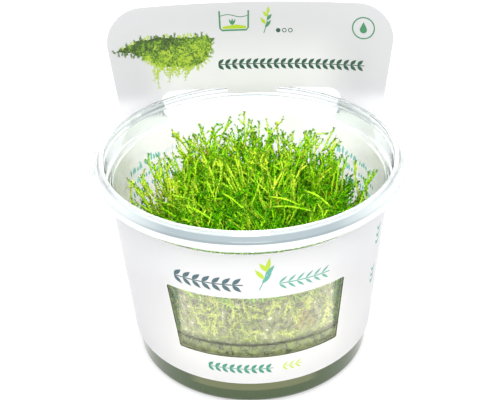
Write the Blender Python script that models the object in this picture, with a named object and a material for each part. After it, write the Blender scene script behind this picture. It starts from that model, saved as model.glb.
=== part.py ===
# Java moss growing on gel in a clear plastic culture cup, with a die-cut card sleeve round the cup.
# Metres, +Z up. The cup stands on Z = 0 with its axis along Z, and its front faces -Y.

import math

import bmesh
import bpy
from mathutils import Vector, noise
from mathutils.geometry import delaunay_2d_cdt

MM = 0.001

# Cup, radii and heights in millimetres
BASE_RADIUS = 39.07            # outer wall carried down to Z = 0
WALL_SLOPE = 0.0874            # growth of the wall's radius for each millimetre of height
WALL = 0.6
CORNER_RADIUS = 2.5            # between base and wall
CORNER_START, CORNER_END = -90, -5     # degrees that the corner's round spans
CORNER_POINTS = 4
FOOT_INNER = 33.2              # the ring that the cup stands on starts here
FOOT_RECESS = 0.8              # how far the middle of the base is raised
FOOT_SLOPE = 1.0               # width of the step between that middle and the foot
FOOT_MITRE = 0.4               # share of the thickness that the step moves out by on an inner surface
SHOULDER_Z = 64.2              # ledge that a lid would sit on
LEDGE_ROUND = 0.5              # rounds on both sides of the ledge
LID_WALL_RADIUS = 46.0         # inside of the upright wall above the ledge
LID_WALL = 0.9                 # thickness of that wall
FLANGE_RADIUS = 50.4
FLANGE_BOTTOM = 67.1
FLANGE_TOP = 70.3
FLANGE_ROUND = 0.5             # bevel of its outer edge
SKIRT = 0.9                    # thickness of the flange's down-turned edge
SKIRT_DEPTH = 1.9              # hollow under the flange
SKIRT_BEVEL = 0.2
RIM_RADIUS = 46.6              # inner top edge of the rim
RIM_Z = 72.3
BEAD_RADIUS = 0.65             # round of the rim's top
BEAD_START, BEAD_END = 50, 180         # degrees that it spans
BEAD_POINTS = 4
SEGMENTS = 64                  # facets round every turned piece

# Card sleeve. Its flat blank is drawn with U along the back of the cup and Z up.
CARD = 0.4
CLEARANCE = 0.3                # gap kept between pieces that touch
SLEEVE_BOTTOM = 9.6
SLEEVE_TOP = 62.6
ROUND_RADIUS = 45.4            # U is an arc of this radius round the cup
HEADER_LEFT, HEADER_RIGHT = -49.6, 52.4
HEADER_TOP = 103.8
HEADER_CORNER = 12.0
HEADER_BEND = 200.0            # radius that the header stays curved to
HEADER_Y = 44.55               # middle of the header at the rim's height
SLOT_LEFT, SLOT_RIGHT = -30.6, 33.2
SLOT_BOTTOM, SLOT_TOP = 63.0, 72.85
SLOT_CORNER = 4.0
TAB_LEFT, TAB_RIGHT = -7.0, 10.4      # tab of the header that hangs inside the rim
TAB_BOTTOM = 70.7
TAB_CORNER = 1.2
TAB_ROOT = 0.4                        # round where the tab meets the slot's top edge
ROOT_CORNER = 3.0                     # round between the header's sides and the sleeve's top edge
ROOT_TAPER = 5.0                      # how far each side has drawn in at that edge
FREE_LOW, FREE_HIGH = 50.0, 72.0      # heights between which the legs leave the cup's curve
LEG_INNER = (14.0, 30.0)              # along U, where the card starts to belong to a leg
LEG_OUTER = (40.0, 60.0)              # and where it no longer does
WINDOW_TOP, WINDOW_BOTTOM = 45.8, 21.1
WINDOW_TOP_DEG = (-36.7, 40.5)        # angles from the front, left and right
WINDOW_BOTTOM_DEG = (-33.9, 39.6)
WINDOW_CORNER = 0.7
SEAM_U = -0.25 * math.tau * ROUND_RADIUS      # the blank's ends are glued at the cup's left side
END_U = SEAM_U + math.tau * ROUND_RADIUS
WRAP_LEVELS = (WINDOW_BOTTOM, WINDOW_TOP, 54.0, 58.5)          # level lines that the blank bends along
HEADER_LEVELS = (SLEEVE_TOP, 66.0, 69.5, SLOT_TOP, 80.0, 92.0)

# Gel and moss
GEL_TOP = 25.0
GEL_MENISCUS = 0.8             # how far the gel climbs at the wall
MENISCUS_WIDTH = 1.6
MOSS_RINGS = 17                # rings of points across the cushion
MOSS_GAP = 0.9                 # between the cushion's upper edge and the cup's wall
MOSS_VALLEY = 52.0             # height between the shoots at the middle
MOSS_EDGE = 46.5               # and beside the cup's wall
MOSS_TIP = 66.0                # mean height of the tallest shoots
MOSS_DOME = 4.5                # how much lower the shoots are beside the wall
MOSS_UNEVEN = 2.4              # how much shoots and hollows differ in height
HOLLOW_SIZE, SHOOT_SIZE = 9.0, 3.3     # size of the patches over which each differs
MOSS_LEAN = 2.6                # how far a tip leans over with its neighbours
LEAN_SIZE = 14.0               # size of the patches that lean together
MOSS_SPREAD = (0.5, 0.3)       # share of the lean that points outwards, along X and Y
MOSS_STRAY = 0.9               # how far a tip leans by itself
STRAY_SIZE = 2.1
MOSS_BOTTOM = GEL_TOP - GEL_MENISCUS + CLEARANCE
MOSS_SIDE = ((38.0, 0.5), (30.0, 0.9), (MOSS_BOTTOM, 2.3))     # heights, and how far the side draws in
MOSS_LUMP = 0.5                # bumps of the side
LUMP_SIZE = 12.0
LUMP_CIRCLE = 60.0             # radius of the circle that their noise is read along
MOSS_SEED = Vector((3.7, 1.9, 8.3))


def clear_scene():
    for item in list(bpy.data.objects):
        bpy.data.objects.remove(item, do_unlink=True)


def make_material(name, color, roughness, metallic=0.0, transmission=0.0, ior=1.5):
    material = bpy.data.materials.new(name)
    material.use_nodes = True
    shader = material.node_tree.nodes["Principled BSDF"]
    shader.inputs["Base Color"].default_value = (*color, 1.0)
    shader.inputs["Roughness"].default_value = roughness
    shader.inputs["Metallic"].default_value = metallic
    shader.inputs["Transmission Weight"].default_value = transmission
    shader.inputs["IOR"].default_value = ior
    return material


def add_object(name, mesh_data, material, sharp_degrees):
    mesh = bpy.data.meshes.new(name)
    mesh_data.to_mesh(mesh)
    mesh_data.free()
    mesh.shade_smooth()
    mesh.set_sharp_from_angle(angle=math.radians(sharp_degrees))
    mesh.materials.append(material)
    item = bpy.data.objects.new(name, mesh)
    bpy.context.collection.objects.link(item)
    return item


def turned_mesh(profile):
    """A closed body turned about Z from (radius, height) points in millimetres.
    They run from the axis at the bottom, up the outside and back to the axis."""
    mesh_data = bmesh.new()
    rings = []
    for radius, height in profile:
        count = 1 if radius == 0 else SEGMENTS
        ring = []
        for step in range(count):
            angle = math.tau * step / SEGMENTS
            place = Vector((radius * math.cos(angle), radius * math.sin(angle), height)) * MM
            ring.append(mesh_data.verts.new(place))
        rings.append(ring)
    for low, high in zip(rings, rings[1:]):
        for step in range(SEGMENTS):
            after = (step + 1) % SEGMENTS
            if len(low) == 1:
                mesh_data.faces.new((low[0], high[after], high[step]))
            elif len(high) == 1:
                mesh_data.faces.new((low[step], low[after], high[0]))
            else:
                mesh_data.faces.new((low[step], low[after], high[after], high[step]))
    bmesh.ops.recalc_face_normals(mesh_data, faces=mesh_data.faces)
    return mesh_data


def outer_wall(height):
    return BASE_RADIUS + WALL_SLOPE * height


def inner_wall(height):
    return outer_wall(height) - WALL


def arc_points(centre, radius, start_degrees, end_degrees, count):
    points = []
    for step in range(count):
        angle = math.radians(start_degrees + (end_degrees - start_degrees) * step / (count - 1))
        points.append((centre[0] + radius * math.cos(angle), centre[1] + radius * math.sin(angle)))
    return points


def base_corner(inset):
    """Round between base and wall, for a surface that lies inset millimetres inside the outer one."""
    centre = (outer_wall(CORNER_RADIUS) - CORNER_RADIUS, CORNER_RADIUS)
    return arc_points(centre, CORNER_RADIUS - inset, CORNER_START, CORNER_END, CORNER_POINTS)


def floor_points(inset):
    """The base from the axis to the foot, for a surface raised inset millimetres."""
    return [
        (0, FOOT_RECESS + inset),
        (FOOT_INNER - FOOT_SLOPE - FOOT_MITRE * inset, FOOT_RECESS + inset),
        (FOOT_INNER + FOOT_MITRE * inset, inset),
    ]


def rim_points():
    """From under the shoulder up the outside, over flange and rim, and down to the shoulder inside."""
    lid_outside = LID_WALL_RADIUS + LID_WALL
    skirt_inside = FLANGE_RADIUS - SKIRT
    skirt = [
        (lid_outside, SHOULDER_Z + LID_WALL / 3),
        (lid_outside + SKIRT_BEVEL / 2, FLANGE_BOTTOM + SKIRT_DEPTH - SKIRT_BEVEL),
        (skirt_inside - SKIRT_BEVEL, FLANGE_BOTTOM + SKIRT_DEPTH),
        (skirt_inside, FLANGE_BOTTOM),
        (FLANGE_RADIUS - SKIRT_BEVEL, FLANGE_BOTTOM),
        (FLANGE_RADIUS, FLANGE_TOP - FLANGE_ROUND),
        (FLANGE_RADIUS - FLANGE_ROUND, FLANGE_TOP),
        (RIM_RADIUS + 3 * BEAD_RADIUS, RIM_Z - 1.5 * BEAD_RADIUS),
    ]
    bead_centre = (RIM_RADIUS + BEAD_RADIUS, RIM_Z - BEAD_RADIUS)
    bead = arc_points(bead_centre, BEAD_RADIUS, BEAD_START, BEAD_END, BEAD_POINTS)
    ledge = [
        (LID_WALL_RADIUS, SHOULDER_Z + LEDGE_ROUND),
        (LID_WALL_RADIUS - LEDGE_ROUND, SHOULDER_Z),
        (inner_wall(SHOULDER_Z) + LEDGE_ROUND, SHOULDER_Z - 0.1),
        (inner_wall(SHOULDER_Z - 2 * LEDGE_ROUND), SHOULDER_Z - 2 * LEDGE_ROUND),
    ]
    return skirt + bead + ledge


def build_cup():
    outside = floor_points(0.0) + base_corner(0.0)
    outside.append((outer_wall(SHOULDER_Z - 2 * LEDGE_ROUND), SHOULDER_Z - 2 * LEDGE_ROUND))
    inside = floor_points(WALL) + base_corner(WALL)
    inside.reverse()
    plastic = make_material("clear_plastic", (0.93, 0.97, 0.97), 0.08, transmission=0.9, ior=1.49)
    return add_object("cup", turned_mesh(outside + rim_points() + inside), plastic, 30)


def build_gel():
    inset = WALL + CLEARANCE
    edge = inner_wall(GEL_TOP) - CLEARANCE
    profile = floor_points(inset) + base_corner(inset)
    level = GEL_TOP - GEL_MENISCUS
    profile += [(edge, GEL_TOP), (edge - MENISCUS_WIDTH, level), (0, level)]
    agar = make_material("agar", (0.42, 0.50, 0.33), 0.25, transmission=0.4, ior=1.34)
    return add_object("culture_gel", turned_mesh(profile), agar, 40)


def smooth_step(value, low, high):
    share = min(1.0, max(0.0, (value - low) / (high - low)))
    return share * share * (3 - 2 * share)


def sleeve_place(u, z):
    """Where a point of the flat blank lies, halfway through the card: on the cup or the flatter header."""
    angle = u / ROUND_RADIUS
    radius = outer_wall(z) + CLEARANCE + CARD / 2
    on_cup = Vector((radius * math.sin(angle), radius * math.cos(angle), z))
    lean = WALL_SLOPE * (z - RIM_Z)
    bend = u / HEADER_BEND
    flat_y = HEADER_Y + lean - HEADER_BEND * (1 - math.cos(bend))
    on_header = Vector((HEADER_BEND * math.sin(bend), flat_y, z))
    in_leg = smooth_step(abs(u), *LEG_INNER) * (1 - smooth_step(abs(u), *LEG_OUTER))
    start = SLEEVE_TOP - (SLEEVE_TOP - FREE_LOW) * in_leg
    return on_cup.lerp(on_header, smooth_step(z, start, FREE_HIGH)) * MM


def front_u(degrees):
    """Place along the blank of an angle from the cup's front, positive towards +X."""
    return math.radians(180 - degrees) * ROUND_RADIUS


def rounded_loop(corners, steps=3):
    """A closed outline from (u, z, corner radius) points, each corner cut round."""
    loop = []
    for index, (u, z, radius) in enumerate(corners):
        corner = Vector((u, z))
        if radius == 0:
            loop.append(corner)
            continue
        before = (Vector(corners[index - 1][:2]) - corner).normalized()
        after = (Vector(corners[(index + 1) % len(corners)][:2]) - corner).normalized()
        half_angle = before.angle(after) / 2
        start = corner + before * radius / math.tan(half_angle)
        end = corner + after * radius / math.tan(half_angle)
        centre = corner + (before + after).normalized() * radius / math.sin(half_angle)
        for step in range(steps + 1):
            spoke = (start - centre).lerp(end - centre, step / steps)
            loop.append(centre + spoke.normalized() * radius)
    return loop


def sleeve_outline():
    return rounded_loop([
        (SEAM_U, SLEEVE_BOTTOM, 0),
        (END_U, SLEEVE_BOTTOM, 0),
        (END_U, SLEEVE_TOP, 0),
        (HEADER_RIGHT - ROOT_TAPER, SLEEVE_TOP, ROOT_CORNER),
        (HEADER_RIGHT, HEADER_TOP, HEADER_CORNER),
        (HEADER_LEFT, HEADER_TOP, HEADER_CORNER),
        (HEADER_LEFT + ROOT_TAPER, SLEEVE_TOP, ROOT_CORNER),
        (SEAM_U, SLEEVE_TOP, 0),
    ], steps=5)


def window_hole():
    return rounded_loop([
        (front_u(WINDOW_BOTTOM_DEG[1]), WINDOW_BOTTOM, WINDOW_CORNER),
        (front_u(WINDOW_BOTTOM_DEG[0]), WINDOW_BOTTOM, WINDOW_CORNER),
        (front_u(WINDOW_TOP_DEG[0]), WINDOW_TOP, WINDOW_CORNER),
        (front_u(WINDOW_TOP_DEG[1]), WINDOW_TOP, WINDOW_CORNER),
    ], steps=2)


def slot_hole():
    return rounded_loop([
        (SLOT_LEFT, SLOT_BOTTOM, SLOT_CORNER),
        (SLOT_RIGHT, SLOT_BOTTOM, SLOT_CORNER),
        (SLOT_RIGHT, SLOT_TOP, SLOT_CORNER),
        (TAB_RIGHT, SLOT_TOP, TAB_ROOT),
        (TAB_RIGHT, TAB_BOTTOM, TAB_CORNER),
        (TAB_LEFT, TAB_BOTTOM, TAB_CORNER),
        (TAB_LEFT, SLOT_TOP, TAB_ROOT),
        (SLOT_LEFT, SLOT_TOP, SLOT_CORNER),
    ])


def inside_loop(loop, point):
    crossings = 0
    for one, two in zip(loop, loop[1:] + loop[:1]):
        if (one.y > point.y) != (two.y > point.y):
            cross_x = one.x + (point.y - one.y) * (two.x - one.x) / (two.y - one.y)
            crossings += cross_x > point.x
    return crossings % 2 == 1


def blank_triangles():
    """The flat blank cut into triangles along a grid of upright and level lines."""
    outline = sleeve_outline()
    holes = [window_hole(), slot_hole()]
    points = []
    edges = []
    for loop in [outline] + holes:
        first = len(points)
        points += loop
        edges += [(first + k, first + (k + 1) % len(loop)) for k in range(len(loop))]
    lines = []
    for column in range(SEGMENTS + 1):
        u = SEAM_U + (END_U - SEAM_U) * column / SEGMENTS
        on_header = HEADER_LEFT < u < HEADER_RIGHT
        lines.append(((u, SLEEVE_BOTTOM), (u, HEADER_TOP if on_header else SLEEVE_TOP)))
    for level in WRAP_LEVELS:
        lines.append(((SEAM_U, level), (END_U, level)))
    for level in HEADER_LEVELS:
        lines.append(((HEADER_LEFT - ROOT_CORNER, level), (HEADER_RIGHT + ROOT_CORNER, level)))
    for start, end in lines:
        edges.append((len(points), len(points) + 1))
        points += [Vector(start), Vector(end)]
    flat_points, _, faces, *_ = delaunay_2d_cdt(points, edges, [], 0, 1e-4)
    kept = []
    for face in faces:
        middle = sum((flat_points[k] for k in face), Vector((0, 0))) / len(face)
        in_hole = any(inside_loop(hole, middle) for hole in holes)
        if inside_loop(outline, middle) and not in_hole:
            kept.append(face)
    return flat_points, kept


def build_sleeve():
    flat_points, faces = blank_triangles()
    mesh_data = bmesh.new()
    corners = {}
    for face in faces:
        for index in face:
            if index not in corners:
                corners[index] = mesh_data.verts.new(sleeve_place(*flat_points[index]))
        mesh_data.faces.new([corners[index] for index in face])
    bmesh.ops.remove_doubles(mesh_data, verts=mesh_data.verts, dist=0.005 * MM)
    bmesh.ops.recalc_face_normals(mesh_data, faces=mesh_data.faces)
    card = make_material("white_card", (0.93, 0.93, 0.94), 0.35)
    sleeve = add_object("sleeve", mesh_data, card, 30)
    thickness = sleeve.modifiers.new("card_thickness", "SOLIDIFY")
    thickness.thickness = CARD * MM
    thickness.offset = 0
    thickness.use_even_offset = True
    return sleeve


def ring_grid(rings):
    """Points of a hexagonal grid bent to a disc: a list of (ring, angle, is_tip) and its triangles.
    Every third point of the grid is a shoot's tip, so each tip has six low neighbours."""
    steps = [(0, -1), (-1, 0), (-1, 1), (0, 1), (1, 0), (1, -1)]
    points = {(0, 0): (0, 0.0, True)}
    for ring in range(1, rings + 1):
        q, r = ring, 0
        for side in range(6):
            for step in range(ring):
                angle = math.tau * (side * ring + step) / (6 * ring)
                points[(q, r)] = (ring, angle, (q - r) % 3 == 0)
                q, r = q + steps[side][0], r + steps[side][1]
    index = {key: number for number, key in enumerate(points)}
    triangles = []
    for q, r in points:
        for one, two in (((q + 1, r), (q, r + 1)), ((q + 1, r), (q + 1, r - 1))):
            if one in points and two in points:
                triangles.append((index[(q, r)], index[one], index[two]))
    return list(points.values()), triangles


def wander(x, y, size, channel):
    """Smooth seeded noise from -1 to 1, with lumps of the given size in millimetres."""
    return noise.noise(Vector((x / size, y / size, 5.0 * channel)) + MOSS_SEED)


def moss_point(ring, angle, is_tip):
    """Where a point of the grid lies: between the shoots, or at the tip of one, which leans outwards."""
    share = ring / MOSS_RINGS
    edge_radius = inner_wall(MOSS_EDGE) - MOSS_GAP
    x = edge_radius * share * math.cos(angle)
    y = edge_radius * share * math.sin(angle)
    if ring == MOSS_RINGS:
        return Vector((x, y, MOSS_EDGE + MOSS_UNEVEN * wander(x, y, HOLLOW_SIZE, 3)))
    if not is_tip:
        low = MOSS_VALLEY + (MOSS_EDGE - MOSS_VALLEY) * share ** 3
        return Vector((x, y, low + MOSS_UNEVEN * wander(x, y, HOLLOW_SIZE, 3)))
    height = MOSS_TIP - MOSS_DOME * share ** 2 + MOSS_UNEVEN * wander(x, y, SHOOT_SIZE, 4)
    lean = MOSS_LEAN * (1 - smooth_step(share, 0.8, 1.0))
    lean_x = lean * (wander(x, y, LEAN_SIZE, 5) + MOSS_SPREAD[0] * x / edge_radius)
    lean_y = lean * (wander(x, y, LEAN_SIZE, 6) + MOSS_SPREAD[1] * y / edge_radius)
    stray_x = MOSS_STRAY * wander(x, y, STRAY_SIZE, 1)
    stray_y = MOSS_STRAY * wander(x, y, STRAY_SIZE, 2)
    return Vector((x + lean_x + stray_x, y + lean_y + stray_y, height))


def build_moss():
    points, triangles = ring_grid(MOSS_RINGS)
    mesh_data = bmesh.new()
    top = [mesh_data.verts.new(moss_point(*point) * MM) for point in points]
    for triangle in triangles:
        mesh_data.faces.new([top[k] for k in triangle])
    edge = [k for k, point in enumerate(points) if point[0] == MOSS_RINGS]
    above = [top[k] for k in edge]
    for height, drawn_in in MOSS_SIDE:
        ring = []
        for k in edge:
            angle = points[k][1]
            read_x, read_y = LUMP_CIRCLE * math.cos(angle), LUMP_CIRCLE * math.sin(angle)
            lump = MOSS_LUMP * wander(read_x, read_y, LUMP_SIZE, height)
            radius = inner_wall(height) - MOSS_GAP - drawn_in + lump
            place = Vector((radius * math.cos(angle), radius * math.sin(angle), height)) * MM
            ring.append(mesh_data.verts.new(place))
        for step in range(len(edge)):
            after = (step + 1) % len(edge)
            mesh_data.faces.new((above[step], ring[step], ring[after], above[after]))
        above = ring
    mesh_data.faces.new(above)
    bmesh.ops.triangulate(mesh_data, faces=mesh_data.faces)
    bmesh.ops.recalc_face_normals(mesh_data, faces=mesh_data.faces)
    green = make_material("moss_green", (0.09, 0.27, 0.02), 0.55)
    return add_object("moss", mesh_data, green, 180)


clear_scene()
build_cup()
build_sleeve()
build_gel()
build_moss()
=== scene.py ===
# Java moss in its culture cup: the finish of every surface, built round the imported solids.
import math
import random

import bmesh
import bpy
from mathutils import Matrix, Vector, noise
from mathutils.geometry import delaunay_2d_cdt


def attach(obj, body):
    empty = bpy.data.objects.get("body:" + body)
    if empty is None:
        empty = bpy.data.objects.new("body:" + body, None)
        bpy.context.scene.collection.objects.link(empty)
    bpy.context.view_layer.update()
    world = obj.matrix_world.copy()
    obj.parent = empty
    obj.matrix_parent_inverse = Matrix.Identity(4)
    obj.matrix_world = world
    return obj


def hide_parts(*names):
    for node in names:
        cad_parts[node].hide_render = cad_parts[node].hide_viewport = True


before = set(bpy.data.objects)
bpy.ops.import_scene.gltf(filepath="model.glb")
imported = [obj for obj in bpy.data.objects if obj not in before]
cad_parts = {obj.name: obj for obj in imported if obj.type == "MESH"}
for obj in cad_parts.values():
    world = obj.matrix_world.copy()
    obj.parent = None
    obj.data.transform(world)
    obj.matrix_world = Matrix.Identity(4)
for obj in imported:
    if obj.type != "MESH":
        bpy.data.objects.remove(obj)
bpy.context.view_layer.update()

mm = 0.001
goldenShare = 0.61803     # of a whole, from one tuft of a group to the next
goldenAngle = 2.39996     # in radians, from one leaf of a shoot to the next


# Colours are given as they look on a screen, 0 to 255
def screenColor(color):
    channels = []
    for value in color:
        share = value / 255
        channels.append(share / 12.92 if share <= 0.04045 else ((share + 0.055) / 1.055) ** 2.4)
    return (*channels, 1.0)


def smoothStep(value, low, high):
    share = min(1.0, max(0.0, (value - low) / (high - low)))
    return share * share * (3 - 2 * share)


# One step across and upright, in the plane of a drawing
def toward(angle):
    return Vector((math.cos(angle), math.sin(angle)))


def leftOf(along):
    return Vector((-along.y, along.x))


def addObject(name, data):
    thing = bpy.data.objects.new(name, data)
    bpy.context.collection.objects.link(thing)
    return thing


# Adds nodes to a tree and links them: each input is a value, a socket or None
class NodeMaker:
    def __init__(self, tree):
        self.tree = tree

    def fill(self, socket, value):
        if isinstance(value, bpy.types.NodeSocket):
            self.tree.links.new(value, socket)
        elif value is not None:
            socket.default_value = value

    def add(self, kind, inputs=None, **settings):
        node = self.tree.nodes.new(kind)
        for key, value in settings.items():
            setattr(node, key, value)
        for key, value in (inputs or {}).items():
            self.fill(node.inputs[key], value)
        return node

    def math(self, operation, *inputs):
        return self.add("ShaderNodeMath", dict(enumerate(inputs)), operation=operation).outputs[0]

    def times(self, product, *factors):
        for factor in factors:
            product = self.math("MULTIPLY", product, factor)
        return product

    def timesPlus(self, first, factor, added):
        return self.math("MULTIPLY_ADD", first, factor, added)

    # The two colours are sockets, or three channels as on a screen, or four as the shader takes them
    def mixColor(self, share, *colors):
        first, second = (screenColor(c) if isinstance(c, tuple) and len(c) == 3 else c for c in colors)
        return self.add("ShaderNodeMix", {0: share, 6: first, 7: second}, data_type="RGBA").outputs[2]

    def ramp(self, value, low, high, toLow=0.0, toHigh=1.0):
        limits = {0: value, 1: low, 2: high, 3: toLow, 4: toHigh}
        return self.add("ShaderNodeMapRange", limits, interpolation_type="SMOOTHSTEP").outputs[0]

    def colorRamp(self, share, stops):
        node = self.add("ShaderNodeValToRGB", {0: share})
        elements = node.color_ramp.elements
        while len(elements) < len(stops):
            elements.new(1.0)
        for element, (place, color) in zip(elements, stops):
            element.position, element.color = place, screenColor(color)
        return node.outputs[0]


# A material whose patterns follow the object's own place, measured in millimetres
class Surface(NodeMaker):
    def __init__(self, name, color, roughness):
        self.material = bpy.data.materials.new(name)
        self.material.use_nodes = True
        super().__init__(self.material.node_tree)
        self.inputs = self.tree.nodes["Principled BSDF"].inputs
        self.inputs["Base Color"].default_value = screenColor(color)
        self.inputs["Roughness"].default_value = roughness
        self.place = self.add("ShaderNodeTexCoord").outputs["Object"]

    def axes(self):
        return self.add("ShaderNodeSeparateXYZ", {0: self.place}).outputs

    def span(self, value, low, high, toLow=0.0, toHigh=1.0):
        return self.ramp(value, low * mm, high * mm, toLow, toHigh)

    def aside(self, x, *limits):
        return self.span(self.math("ABSOLUTE", x), *limits)

    # Distance from the cup's axis
    def spread(self, x, y):
        return self.math("SQRT", self.timesPlus(x, x, self.times(y, y)))

    def noise(self, scale, detail, roughness=0.5):
        inputs = {"Vector": self.place, "Scale": scale, "Detail": detail, "Roughness": roughness}
        return self.add("ShaderNodeTexNoise", inputs).outputs["Fac"]

    def bump(self, height, strength, distance):
        inputs = {"Height": height, "Strength": strength, "Distance": distance}
        self.fill(self.inputs["Normal"], self.add("ShaderNodeBump", inputs).outputs[0])

    def painted(self, color):
        self.fill(self.inputs["Base Color"], color)
        return self.material


# A glowing sheet, used for the floor and the reflector card
def addStage(name, points, faces, color, glow):
    mesh = bpy.data.meshes.new(name)
    mesh.from_pydata(points, [], faces)
    make = Surface(name, color, 0.6)
    make.inputs["Emission Color"].default_value = screenColor(color)
    make.inputs["Emission Strength"].default_value = glow
    mesh.materials.append(make.material)
    addObject(name, mesh)


# Camera, at the photograph's angle
cameraView = {
    "targetZ": 0.050,
    "distance": 0.3658,
    "elevation": 32.22,
    "roll": -1.39,
    "lens": 79.6,
    "shift": (-0.0002, 0.0176),
}


def makeCamera(v):
    lift = math.radians(v["elevation"])
    back = Vector((0, -math.cos(lift), math.sin(lift)))
    data = bpy.data.cameras.new("photoCamera")
    data.lens, data.sensor_width, data.clip_start = v["lens"], 36.0, 0.01
    data.shift_x, data.shift_y = v["shift"]
    camera = addObject("photoCamera", data)
    camera.location = Vector((0, 0, v["targetZ"])) + back * v["distance"]
    roll = Matrix.Rotation(math.radians(v["roll"]), 3, "Z")
    camera.rotation_euler = (back.to_track_quat("Z", "Y").to_matrix() @ roll).to_euler()
    bpy.context.scene.camera = camera


makeCamera(cameraView)
print("camera set")

# Studio: pale floor, soft sky brightest high in front, a bright backdrop behind, and two softboxes
studio = {
    "horizonColor": (216, 220, 224),
    "horizonStrength": 0.34,
    "horizonHeights": (0.10, 0.60),   # sine of the height where the horizon ends and the sky is full
    "skyColor": (246, 246, 250),
    "skyStrength": 1.0,
    "keyColor": (255, 254, 250),
    "keyStrength": 1.0,
    "keyFrom": (0.0, -0.36, 0.93),
    "keyCosines": (0.25, 0.98),
    "backdropFrom": (0.0, 0.95, 0.22),
    "backdropStrength": 1.5,
    "backdropCosines": (0.40, 0.90),
    "floorColor": (172, 172, 173),
    "floorGlow": 1.15,
    "floorHalf": 3.0,
    "floorZ": -0.0002,
    "lightsAimAt": (0, 0, 0.04),
    "lights": [
        # name, place, size, watts
        ("softboxTop", (0.0, -0.42, 0.62), 0.25, 2.4),
        ("softboxFront", (0.04, -0.75, 0.36), 0.30, 1.2),
    ],
}


def makeSky(v):
    world = bpy.data.worlds.new("studio")
    world.use_nodes = True
    make = NodeMaker(world.node_tree)
    direction = make.add("ShaderNodeTexCoord").outputs["Generated"]
    height = make.add("ShaderNodeSeparateXYZ", {0: direction}).outputs["Z"]
    raised = make.ramp(height, *v["horizonHeights"])

    def lobe(source, cosines):
        near = {0: direction, 1: Vector(source).normalized()}
        cosine = make.add("ShaderNodeVectorMath", near, operation="DOT_PRODUCT").outputs["Value"]
        return make.ramp(cosine, *cosines)

    key = lobe(v["keyFrom"], v["keyCosines"])
    backdrop = lobe(v["backdropFrom"], v["backdropCosines"])
    color = make.mixColor(raised, v["horizonColor"], v["skyColor"])
    strength = make.timesPlus(raised, v["skyStrength"] - v["horizonStrength"], v["horizonStrength"])
    for share, added in ((key, v["keyStrength"]), (backdrop, v["backdropStrength"])):
        color = make.mixColor(share, color, v["keyColor"])
        strength = make.timesPlus(share, added, strength)
    background = world.node_tree.nodes["Background"].inputs
    make.fill(background["Color"], color)
    make.fill(background["Strength"], strength)
    bpy.context.scene.world = world


def makeStudio(v):
    makeSky(v)
    bpy.context.scene.view_settings.view_transform = "Standard"
    for name, place, size, watts in v["lights"]:
        data = bpy.data.lights.new(name, "AREA")
        data.shape, data.size, data.energy = "SQUARE", size, watts
        light = addObject(name, data)
        light.location = place
        aim = Vector(place) - Vector(v["lightsAimAt"])
        light.rotation_euler = aim.to_track_quat("Z", "Y").to_euler()
    half = v["floorHalf"]
    corners = [(x, y, v["floorZ"]) for x, y in ((-half, -half), (half, -half), (half, half), (-half, half))]
    addStage("floor", corners, [(0, 1, 2, 3)], v["floorColor"], v["floorGlow"])


makeStudio(studio)
print("studio set")

# Shapes shared by the turned pieces, in millimetres, as the solids have them
cupShape = {
    "baseRadius": 39.07,
    "wallSlope": 0.0874,
    "wall": 0.6,
    "corner": 2.5,
    "footInner": 33.2,
    "footRecess": 0.8,
    "shoulder": 64.2,
    "lidWall": 46.0,
    "lidWallThick": 0.9,
    "flange": 50.4,
    "flangeBottom": 67.1,
    "flangeTop": 70.3,
    "skirt": 0.9,
    "skirtDepth": 1.9,
    "rim": 46.6,
    "rimTop": 72.3,
    "segments": 224,
}


def outerWall(height):
    return cupShape["baseRadius"] + cupShape["wallSlope"] * height


def innerWall(height):
    return outerWall(height) - cupShape["wall"]


# A line through (x, y, corner radius) points, with each corner cut round
def roundedLine(corners, steps, closed=False):
    line = []
    for index, (x, y, radius) in enumerate(corners):
        corner = Vector((x, y))
        atEnd = not closed and index in (0, len(corners) - 1)
        if radius == 0 or atEnd:
            line.append(corner)
            continue
        before = (Vector(corners[index - 1][:2]) - corner).normalized()
        after = (Vector(corners[(index + 1) % len(corners)][:2]) - corner).normalized()
        halfAngle = before.angle(after) / 2
        start, end = (corner + way * radius / math.tan(halfAngle) for way in (before, after))
        centre = corner + (before + after).normalized() * radius / math.sin(halfAngle)
        for step in range(steps + 1):
            spoke = (start - centre).lerp(end - centre, step / steps)
            line.append(centre + spoke.normalized() * radius)
    return line


# A closed shape turned about Z from (radius, height) points, up the outside and back to the axis
def turnedMesh(profile, segments):
    mesh = bmesh.new()
    rings = []
    for radius, height in profile:
        angles = [math.tau * step / segments for step in range(1 if radius < 1e-6 else segments)]
        places = [Vector((radius * math.cos(a), radius * math.sin(a), height)) for a in angles]
        rings.append([mesh.verts.new(place * mm) for place in places])
    for low, high in zip(rings, rings[1:]):
        for step in range(segments):
            after = (step + 1) % segments
            if len(low) == 1:
                mesh.faces.new((low[0], high[after], high[step]))
            elif len(high) == 1:
                mesh.faces.new((low[step], low[after], high[0]))
            else:
                mesh.faces.new((low[step], low[after], high[after], high[step]))
    bmesh.ops.recalc_face_normals(mesh, faces=mesh.faces)
    return mesh


# A named piece in place of a solid of the frame
def addPiece(name, data, node):
    piece = addObject(name, data)
    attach(piece, "root")
    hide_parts(node)


# A piece from a bmesh, with edges shaded sharp above an angle in degrees
def finishPiece(name, mesh, materials, node, sharp):
    data = bpy.data.meshes.new(name)
    mesh.to_mesh(data)
    mesh.free()
    data.shade_smooth()
    data.set_sharp_from_angle(angle=math.radians(sharp))
    for material in materials:
        data.materials.append(material)
    addPiece(name, data, node)


# Bright card lying in front of the cup: the clear wall mirrors it as a pale veil with crisp upright sides
reflector = {
    "sides": (-23.4, 26.0),   # where the mirrored card begins and ends on the wall
    "heights": (22.2, 49.0),
    "columns": 24,
    "color": (252, 250, 222),
    "glow": 1.7,
    "lift": 0.3,
}


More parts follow.
